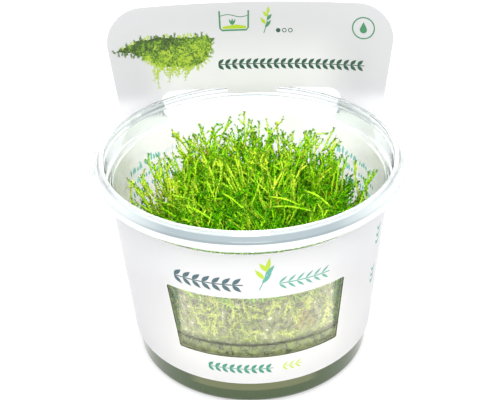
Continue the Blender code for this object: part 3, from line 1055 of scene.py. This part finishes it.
spires = [
    # tip x, y, z and sideways lean of the shoots that stand out of the cushion
    (-39.7, 1.5, 61.5, -0.45), (-39.0, 4.5, 58.5, -0.2), (-37.5, -9.0, 58.5, -0.5),
    (-38.4, -3.5, 57.5, -0.25), (-36.0, 6.5, 59.5, -0.4), (-36.1, -2.5, 61.0, -0.3), (-33.7, 15.2, 63.2, -0.42),
    (-32.0, 12.0, 61.0, -0.35), (-28.2, 9.8, 64.4, -0.3), (-26.4, 28.0, 65.4, -0.5), (-24.5, 25.5, 62.0, -0.4),
    (-20.3, 23.4, 64.2, -0.3), (-16.6, 30.0, 65.2, -0.2), (-12.2, 30.8, 63.9, -0.1), (-6.4, 33.5, 66.0, 0.42),
    (-6.1, 26.1, 64.8, 0.1), (-1.2, 37.2, 66.8, -0.05), (0.4, 33.0, 65.4, 0.15), (1.1, 36.7, 63.2, -0.2),
    (3.9, 36.6, 63.2, 0.1), (8.1, 29.8, 64.2, 0.0), (12.3, 34.0, 65.4, 0.4), (15.4, 26.2, 64.3, 0.1),
    (19.8, 27.4, 63.7, 0.05), (22.8, 25.5, 63.7, 0.0), (29.5, 26.0, 65.6, 0.5), (29.3, 22.0, 63.2, 0.15),
    (30.7, 9.3, 64.0, 0.2), (34.8, 5.3, 63.5, -0.15), (38.8, 0.4, 62.8, -0.1), (40.6, 1.6, 62.3, 0.35),
]
fallenShoots = [
    # start and end, x, y and z, of pale shoots lying across the cushion
    ((-22.8, -4.2, 55.0), (-12.2, -12.5, 54.0)), ((6.0, -2.4, 56.0), (16.6, -6.2, 54.5)),
    ((17.8, -0.8, 57.0), (26.2, -7.4, 54.5)), ((7.0, -5.6, 54.0), (20.0, -7.2, 53.0)),
    ((-9.0, 2.0, 55.0), (-2.0, -6.5, 54.0)), ((-16.0, 22.0, 57.0), (-12.0, 12.0, 56.0)),
]
windowFronds = [
    # x and z along the front wall of the fronds pressed against it
    [(-20.8, 42.2), (-19.0, 38.7), (-17.6, 34.4), (-15.4, 30.3), (-13.5, 26.8)],
    [(-20.8, 35.2), (-17.5, 35.5), (-13.9, 35.6), (-13.4, 29.8)],
    [(-10.2, 45.8), (-10.8, 38.4), (-11.6, 32.9), (-12.6, 28.9)],
    [(-3.1, 46.0), (-2.2, 39.3), (-0.7, 36.6), (2.4, 36.5)],
    [(-6.3, 26.0), (-6.8, 29.4), (-6.3, 32.7), (-4.5, 34.2), (-2.7, 32.4)],
    [(4.9, 26.5), (7.0, 28.8), (9.5, 28.5), (12.2, 26.6)],
    [(23.0, 40.6), (23.3, 34.4), (22.2, 29.9), (21.7, 26.4)],
    [(18.3, 45.6), (17.5, 40.8), (16.4, 37.0)],
    [(5.9, 45.0), (6.4, 40.2), (4.6, 36.8)],
    [(-6.9, 45.8), (-6.2, 40.7), (-4.6, 37.4)],
    [(11.0, 44.4), (11.8, 37.5), (14.2, 32.9)],
    [(-15.6, 41.5), (-13.6, 43.1), (-10.1, 41.2)],
    [(2.2, 32.1), (0.9, 28.9), (-1.1, 26.5)],
]
brownFronds = [
    [(14.2, 27.2), (15.4, 31.6), (17.2, 36.0)],
    [(16.0, 28.4), (17.4, 30.6), (17.8, 33.2)],
    [(13.2, 29.8), (14.2, 31.6), (14.9, 33.0)],
]


def lowSide(x):
    return smoothStep(-x, *moss["sinkLeft"]) + 0.5 * smoothStep(x, *moss["sinkRight"])


def scatter(rand, *sizes):
    return Vector([rand.gauss(0, size) for size in sizes])


# Moves a point of a shoot off the cup's wall, the gel and the lid's space
def keptInside(place, highest):
    widest = innerWall(place.z) - moss["wallGap"]
    spread = math.hypot(place.x, place.y)
    if spread > widest:
        place.x *= widest / spread
        place.y *= widest / spread
    place.z = min(max(place.z, moss["gelTop"] + moss["wallGap"]), highest)
    return place


# Centre lines of shoots, with what each point needs for its leaves and colour
class ShootLines:
    def __init__(self):
        self.points, self.edges = [], []
        self.along, self.tint, self.heading = [], [], []

    def follow(self, line, tint):
        first = len(self.points)
        for step, point in enumerate(line):
            before, after = line[max(0, step - 1)], line[min(len(line) - 1, step + 1)]
            self.points.append(point * mm)
            self.along.append(step / (len(line) - 1))
            self.tint.append(tint)
            self.heading.extend((after - before).normalized())
            if step:
                self.edges.append((first + step - 1, first + step))

    def grow(self, rand, root, heading, length, sway, tint, highest):
        steps = max(4, round(length / moss["step"]))
        place = keptInside(Vector(root), highest)
        line = [place.copy()]
        for step in range(steps):
            heading = (heading + sway + scatter(rand, 1, 1, 0.5) * 0.09).normalized()
            place = keptInside(place + heading * length / steps, highest)
            line.append(place.copy())
            if step > 2 and place.z >= highest:
                break
        self.follow(line, tint)
        return line


# Highest point that a shoot may reach over this place
def tallest(x, y):
    share = min(1.0, math.hypot(x, y) / moss["reach"])
    return moss["tipHeight"] - moss["tipDome"] * share * share


def growGroup(group):
    rand = random.Random(moss["seed"] + len(group["name"]) * 7 + group["tufts"])
    lines = ShootLines()
    low, high = (math.radians(a) for a in group["sector"])
    inner, outer = group["radii"]
    wander, stray = group["wander"], group["stray"]
    for k in range(group["tufts"]):
        share = (k + rand.random()) / group["tufts"]
        spread = math.sqrt(inner ** 2 + share * (outer ** 2 - inner ** 2))
        angle = low + (high - low) * ((k * goldenShare) % 1.0) + rand.uniform(-0.03, 0.03)
        foot = Vector((math.cos(angle), math.sin(angle), 0)) * spread
        edge = 0.9 * smoothStep(-foot.x, *moss["thinLeft"]) + 0.6 * smoothStep(foot.x, *moss["thinRight"])
        if rand.random() < group["thin"] * edge:
            continue
        along = Vector((-foot.y, foot.x, 0)).normalized() * rand.gauss(0, wander)
        fanned = moss["fan"] * (foot.x - moss["fanMiddle"])
        lean = Vector((fanned, 0.12 * foot.y, 0)) / moss["reach"] if stray else Vector()
        tuftHeading = lean + scatter(rand, stray, stray, wander * 0.5) + along + Vector((0, 0, 1))
        # painted light: paler shoots towards the left
        tint = rand.uniform(*group["tint"]) + moss["paintedLightLeft"] * smoothStep(-foot.x, 4, 36)
        for _ in range(rand.randint(*group["shoots"])):
            growShoot(rand, lines, group, foot, tuftHeading, tint)
    return lines


# One main shoot of a tuft, with its side branches
def growShoot(rand, lines, group, foot, tuftHeading, tint):
    sunk = moss["sink"] * lowSide(foot.x) if group["name"] != "mossAtWindow" else 0.0
    root = foot + Vector((rand.gauss(0, 1.5), rand.gauss(0, 1.5), rand.uniform(*group["root"]) - sunk))
    heading = (tuftHeading + scatter(rand, 0.13, 0.13).to_3d()).normalized()
    length = rand.uniform(*group["length"]) * (1 + 0.35 * sunk / moss["sink"])
    highest = tallest(root.x, root.y) + rand.uniform(-5.0, 0.2) - 0.5 * sunk
    sway = Vector((rand.gauss(0, 0.035), rand.gauss(0, 0.035), rand.uniform(-0.01, 0.03)))
    tint = 1.5 if rand.random() < moss["brown"] else min(1.0, max(0.0, tint + rand.gauss(0, 0.14)))
    main = lines.grow(rand, root, heading, length, sway, tint, highest)
    addBranches(rand, lines, main, rand.randint(*group["branches"]), tint, highest)


def addBranches(rand, lines, main, count, tint, highest):
    for _ in range(count):
        at = rand.randint(len(main) // 4, len(main) - 2)
        point, direction = main[at], (main[at + 1] - main[at]).normalized()
        side = direction.cross(scatter(rand, 1, 1, 1)).normalized()
        branch = (direction + side * rand.uniform(0.5, 1.0)).normalized()
        reach = max(2.5, (len(main) - at) * moss["step"] * rand.uniform(0.4, 0.8))
        lighter = tint if tint > 1 else min(1.0, tint + rand.uniform(-0.1, 0.15))
        lines.grow(rand, point, branch, reach, Vector((0, 0, 0.05)), lighter, highest)


# A smooth line through a few points, in steps as long as a shoot's
def softLine(points):
    line = []
    for k in range(len(points) - 1):
        ends = points[max(0, k - 1)], points[k], points[k + 1], points[min(len(points) - 1, k + 2)]
        count = max(2, round((ends[2] - ends[1]).length / moss["step"]))
        for step in range(count):
            t = step / count
            bend = ends[0] * (-t + 2 * t * t - t ** 3) + ends[1] * (2 - 5 * t * t + 3 * t ** 3)
            bend += ends[2] * (t + 4 * t * t - 3 * t ** 3) + ends[3] * (t ** 3 - t * t)
            line.append(bend / 2)
    return line + [points[-1]]


# The single shoots that stand out or lie across the cushion
def placedShoots():
    rand = random.Random(moss["seed"])
    lines = ShootLines()
    for x, y, z, lean in spires:
        tip = Vector((x, y, z))
        down = Vector((-lean, rand.gauss(0, 0.12), -1)).normalized()
        length = rand.uniform(15, 20)
        bow = scatter(rand, 0.9, 0.9).to_3d()
        points = [tip + down * length, tip + down * length * 0.5 + bow, tip]
        line = softLine([keptInside(p, tip.z) for p in points])
        tint = rand.uniform(0.55, 0.95)
        lines.follow(line, tint)
        addBranches(rand, lines, line, rand.randint(1, 2), tint, tip.z - 1.0)
    for start, end in fallenShoots:
        start, end = Vector(start), Vector(end)
        middle = (start + end) / 2 + Vector((0, rand.gauss(0, 0.8), 0.9))
        lines.follow(softLine([start, middle, end]), 0.55)
    return lines


def placedFronds():
    rand = random.Random(moss["seed"])
    lines = ShootLines()
    for tint, branches, fronds in ((0.9, 8, windowFronds), (1.5, 2, brownFronds)):
        for places in fronds:
            points = []
            for x, z in places:
                radius = innerWall(z) - moss["wallGap"]
                points.append(Vector((x, -math.sqrt(radius * radius - x * x), z)))
            line = softLine(points)
            lines.follow(line, tint)
            addBranches(rand, lines, line, branches, tint, 47.0)
    return lines


# A keeled leaf of four faces, growing up along Z and out along X
def makeLeaf(v):
    length, half = v["leafLength"] * mm, v["leafWidth"] * mm / 2
    lean = math.radians(v["leafLean"])
    foot = Vector((v["stemRadius"] * mm * 0.4, 0, 0))
    tip = foot + Vector((math.sin(lean), 0, math.cos(lean))) * length
    middle = foot.lerp(tip, 0.42) + Vector((-0.06, 0, 0.1)) * length
    points = [foot, tip, middle + Vector((0, half, 0)), middle - Vector((0, half, 0))]
    mesh = bpy.data.meshes.new("leaf")
    mesh.from_pydata(points, [], [(0, 1, 2), (0, 3, 1), (0, 2, 3), (1, 3, 2)])
    mesh.attributes.new("leafy", "FLOAT", "POINT").data.foreach_set("value", [0.0, 1.0, 0.5, 0.5])
    return addObject("leaf", mesh)


# Geometry Nodes: lines become thin stems with leaves wound along them, small at the root
def leafyShootTree():
    tree = bpy.data.node_groups.new("leafyShoots", "GeometryNodeTree")
    face = tree.interface
    sockets = (("Geometry", "Geometry"), ("Leaf", "Object"), ("Leaf Spacing", "Float"),
               ("Stem Radius", "Float"), ("Seed", "Int"), ("Material", "Material"))
    for name, kind in sockets:
        face.new_socket(name, in_out="INPUT", socket_type="NodeSocket" + kind)
    face.new_socket("Geometry", in_out="OUTPUT", socket_type="NodeSocketGeometry")
    make = NodeMaker(tree)
    given = make.add("NodeGroupInput").outputs

    def attribute(name, kind):
        return make.add("GeometryNodeInputNamedAttribute", {"Name": name}, data_type=kind).outputs[0]

    def chance(low, high, seed):
        limits = {2: low, 3: high, 8: seed}
        return make.add("FunctionNodeRandomValue", limits, data_type="FLOAT").outputs[1]

    curve = make.add("GeometryNodeMeshToCurve", {0: given["Geometry"]}).outputs[0]
    along, heading = attribute("along", "FLOAT"), attribute("heading", "FLOAT_VECTOR")

    # stem
    circle = make.add("GeometryNodeCurvePrimitiveCircle", {"Resolution": 3, "Radius": given["Stem Radius"]})
    taper = make.add("ShaderNodeMapRange", {0: along, 1: 0.0, 2: 1.0, 3: 1.15, 4: 0.6}).outputs[0]
    stem = make.add("GeometryNodeCurveToMesh", {
        "Curve": curve, "Profile Curve": circle.outputs[0], "Scale": taper, "Fill Caps": True,
    }).outputs[0]

    # leaves
    spaced = {"Curve": curve, "Length": given["Leaf Spacing"]}
    spots = make.add("GeometryNodeCurveToPoints", spaced, mode="LENGTH")
    index = make.add("GeometryNodeInputIndex").outputs[0]
    turn = make.timesPlus(index, goldenAngle, chance(-0.5, 0.5, given["Seed"]))
    aligned = make.add("FunctionNodeAlignRotationToVector", {"Vector": heading}, axis="Z").outputs[0]
    spin = make.add("FunctionNodeAxisAngleToRotation", {"Axis": (0, 0, 1), "Angle": turn}).outputs[0]
    turned = make.add("FunctionNodeRotateRotation", {0: aligned, 1: spin}, rotation_space="LOCAL").outputs[0]
    growing = make.times(make.ramp(along, 0.0, 0.3, 0.55, 1.0), make.ramp(along, 0.82, 0.97, 1.0, 1.2))
    size = make.times(chance(0.7, 1.2, given["Seed"]), growing)
    leaf = make.add("GeometryNodeObjectInfo", {"Object": given["Leaf"], "As Instance": False})
    shaded = {"Geometry": spots.outputs["Points"], "Name": "shade", "Value": chance(-0.5, 0.5, 5)}
    points = make.add("GeometryNodeStoreNamedAttribute", shaded, data_type="FLOAT", domain="POINT").outputs[0]
    leaves = make.add("GeometryNodeInstanceOnPoints", {
        "Points": points, "Instance": leaf.outputs["Geometry"],
        "Rotation": turned, "Scale": size,
    }).outputs[0]
    joined = make.add("GeometryNodeJoinGeometry").inputs[0]
    for part in (leaves, stem):
        tree.links.new(part, joined)
    plain = make.add("GeometryNodeRealizeInstances", {0: joined.node.outputs[0]}).outputs[0]
    painted = make.add("GeometryNodeSetMaterial", {"Geometry": plain, "Material": given["Material"]}).outputs[0]
    make.add("NodeGroupOutput", {0: painted})
    return tree


mossColors = {
    # from the darkest shoots to the palest
    "stem": [(0.0, (92, 204, 0)), (0.45, (172, 242, 0)), (1.0, (242, 254, 84))],
    "leaf": [(0.0, (0, 80, 0)), (0.4, (20, 146, 0)), (0.7, (74, 194, 0)), (1.0, (204, 236, 44))],
    "tip": (52, 112, 0),
    "root": (24, 84, 0),
    "brown": (190, 150, 10),
    "stemAtWall": [(0.0, (120, 160, 20)), (0.4, (196, 222, 50)), (0.8, (244, 252, 130))],
    "leafAtWall": [(0.0, (50, 92, 10)), (0.35, (112, 152, 24)), (0.6, (180, 208, 50)), (0.85, (232, 244, 110))],
    # the body's painted shade, and its painted light at the wall and above the gel
    "bodyShade": [(0.35, (0, 24, 0)), (0.5, (6, 62, 0)), (0.68, (40, 120, 4))],
    "bodyLitAtWall": [(0.30, (50, 110, 0)), (0.44, (104, 180, 0)), (0.58, (166, 226, 0)), (0.70, (176, 140, 40))],
    "bodyLitAtGel": (182, 196, 96),
    "bodyAtVeil": [(0.40, (8, 14, 2)), (0.47, (80, 96, 40)), (0.53, (150, 164, 84)), (0.59, (120, 106, 96)),
                   (0.66, (246, 248, 206))],
}


def mossMaterial(name, stems, leaves, v):
    make = Surface(name, mossColors["tip"], v["roughness"])
    make.inputs["Specular IOR Level"].default_value = v["specular"]
    along, tint, leafy, shade = (
        make.add("ShaderNodeAttribute", attribute_name=key).outputs["Fac"]
        for key in ("along", "tint", "leafy", "shade")
    )
    varied = make.math("ADD", tint, make.timesPlus(make.noise(900.0, 2.0), 0.9, -0.45))
    varied = make.timesPlus(shade, v["speckle"], varied)
    color = make.mixColor(leafy, make.colorRamp(varied, stems), make.colorRamp(varied, leaves))
    color = make.mixColor(make.ramp(along, 0.88, 0.97, 0.0, 0.75), color, mossColors["tip"])
    color = make.mixColor(make.ramp(along, 0.35, 0.0, 0.0, 0.7), color, mossColors["root"])
    return make.painted(make.mixColor(make.ramp(tint, 1.1, 1.4, 0.0, 0.75), color, mossColors["brown"]))


# The rough body: painted shade, dark among the shoots; painted light where it shows through the wall and just
# above the gel; patches from near black to near white behind the veil
def mossBodyMaterial(v):
    make = Surface("mossBody", v["root"], 0.7)
    x, y, z = make.axes()
    fine, patches = make.noise(700.0, 4.0), make.noise(560.0, 6.0)
    beside = make.aside(make.math("SUBTRACT", x, sum(reflector["sides"]) / 2 * mm), 25, 23.5)
    veiled = make.times(beside, make.span(y, -20, -24))
    # painted light just above the gel
    pale = make.mixColor(make.span(z, 31, 25.5, 0.0, 0.45), make.colorRamp(patches, v["bodyAtVeil"]),
                         v["bodyLitAtGel"])
    atWall = make.mixColor(veiled, make.colorRamp(patches, v["bodyLitAtWall"]), pale)
    make.bump(fine, 0.9, 0.001)
    outside = make.span(make.spread(x, y), 35.5, 37.5)
    return make.painted(make.mixColor(outside, make.colorRamp(fine, v["bodyShade"]), atWall))


# Turns shoot lines into one plain mesh of stems and leaves
def clothe(name, lines, tree, leaf, material, v):
    source = bpy.data.meshes.new(name + "Lines")
    source.from_pydata(lines.points, lines.edges, [])
    for key, values in (("along", lines.along), ("tint", lines.tint)):
        source.attributes.new(key, "FLOAT", "POINT").data.foreach_set("value", values)
    source.attributes.new("heading", "FLOAT_VECTOR", "POINT").data.foreach_set("vector", lines.heading)
    grower = addObject(name + "Lines", source)
    modifier = grower.modifiers.new("leaves", "NODES")
    modifier.node_group = tree
    values = {"Leaf": leaf, "Leaf Spacing": v["leafSpacing"] * mm, "Stem Radius": v["stemRadius"] * mm,
              "Seed": moss["seed"], "Material": material}
    for socket in tree.interface.items_tree:
        if socket.in_out == "INPUT" and socket.name in values:
            modifier[socket.identifier] = values[socket.name]
    evaluated = grower.evaluated_get(bpy.context.evaluated_depsgraph_get())
    data = bpy.data.meshes.new_from_object(evaluated)
    bpy.data.objects.remove(grower)
    data.name = name
    addPiece(name, data, "moss")
    print(name, "triangles", sum(len(p.vertices) - 2 for p in data.polygons))


def makeMossBody():
    foot = moss["gelTop"] - 0.25
    line = roundedLine([
        (0, foot, 0), (38.9, foot, 0.4), (39.1, 34.0, 6.0), (39.0, 42.0, 3.0),
        (30.0, 44.5, 5.0), (15.0, 46.0, 5.0), (0, 46.0, 0),
    ], steps=6)
    profile = []
    for start, end in zip(line, line[1:]):
        parts = max(1, round((end - start).length / 1.6))
        profile += [start.lerp(end, k / parts) for k in range(parts)]
    mesh = turnedMesh(profile + [line[-1]], 150)
    for vertex in mesh.verts:
        place = vertex.co / mm
        if place.z > moss["gelTop"] + 0.5:
            bulge = noise.noise(place / 4.0) * 1.3 + noise.noise(place / 1.4) * 0.8
            away = Vector((place.x, place.y, (place.z - 35) * 1.2)).normalized()
            vertex.co += away * bulge * mm
            vertex.co.z -= moss["sink"] * lowSide(place.x) * smoothStep(place.z, 30, 42) * mm
    finishPiece("mossBody", mesh, [mossBodyMaterial(mossColors)], "moss", sharp=180)


def makeMoss():
    makeMossBody()
    free, pressed = (
        (makeLeaf(v), mossMaterial(name, mossColors[stem], mossColors[leaf], moss), v)
        for v, name, stem, leaf in ((moss, "mossLeaves", "stem", "leaf"),
                                    (pressedFrond, "mossAtWall", "stemAtWall", "leafAtWall"))
    )
    tree = leafyShootTree()
    pieces = [(group["name"], growGroup(group), pressed if group["name"] == "mossAtWindow" else free)
              for group in mossGroups]
    pieces += [("mossPlaced", placedShoots(), free), ("mossFronds", placedFronds(), pressed)]
    for name, lines, look in pieces:
        clothe(name, lines, tree, *look)
    for leaf, _, _ in (free, pressed):
        bpy.data.objects.remove(leaf)


makeMoss()
print("moss made")
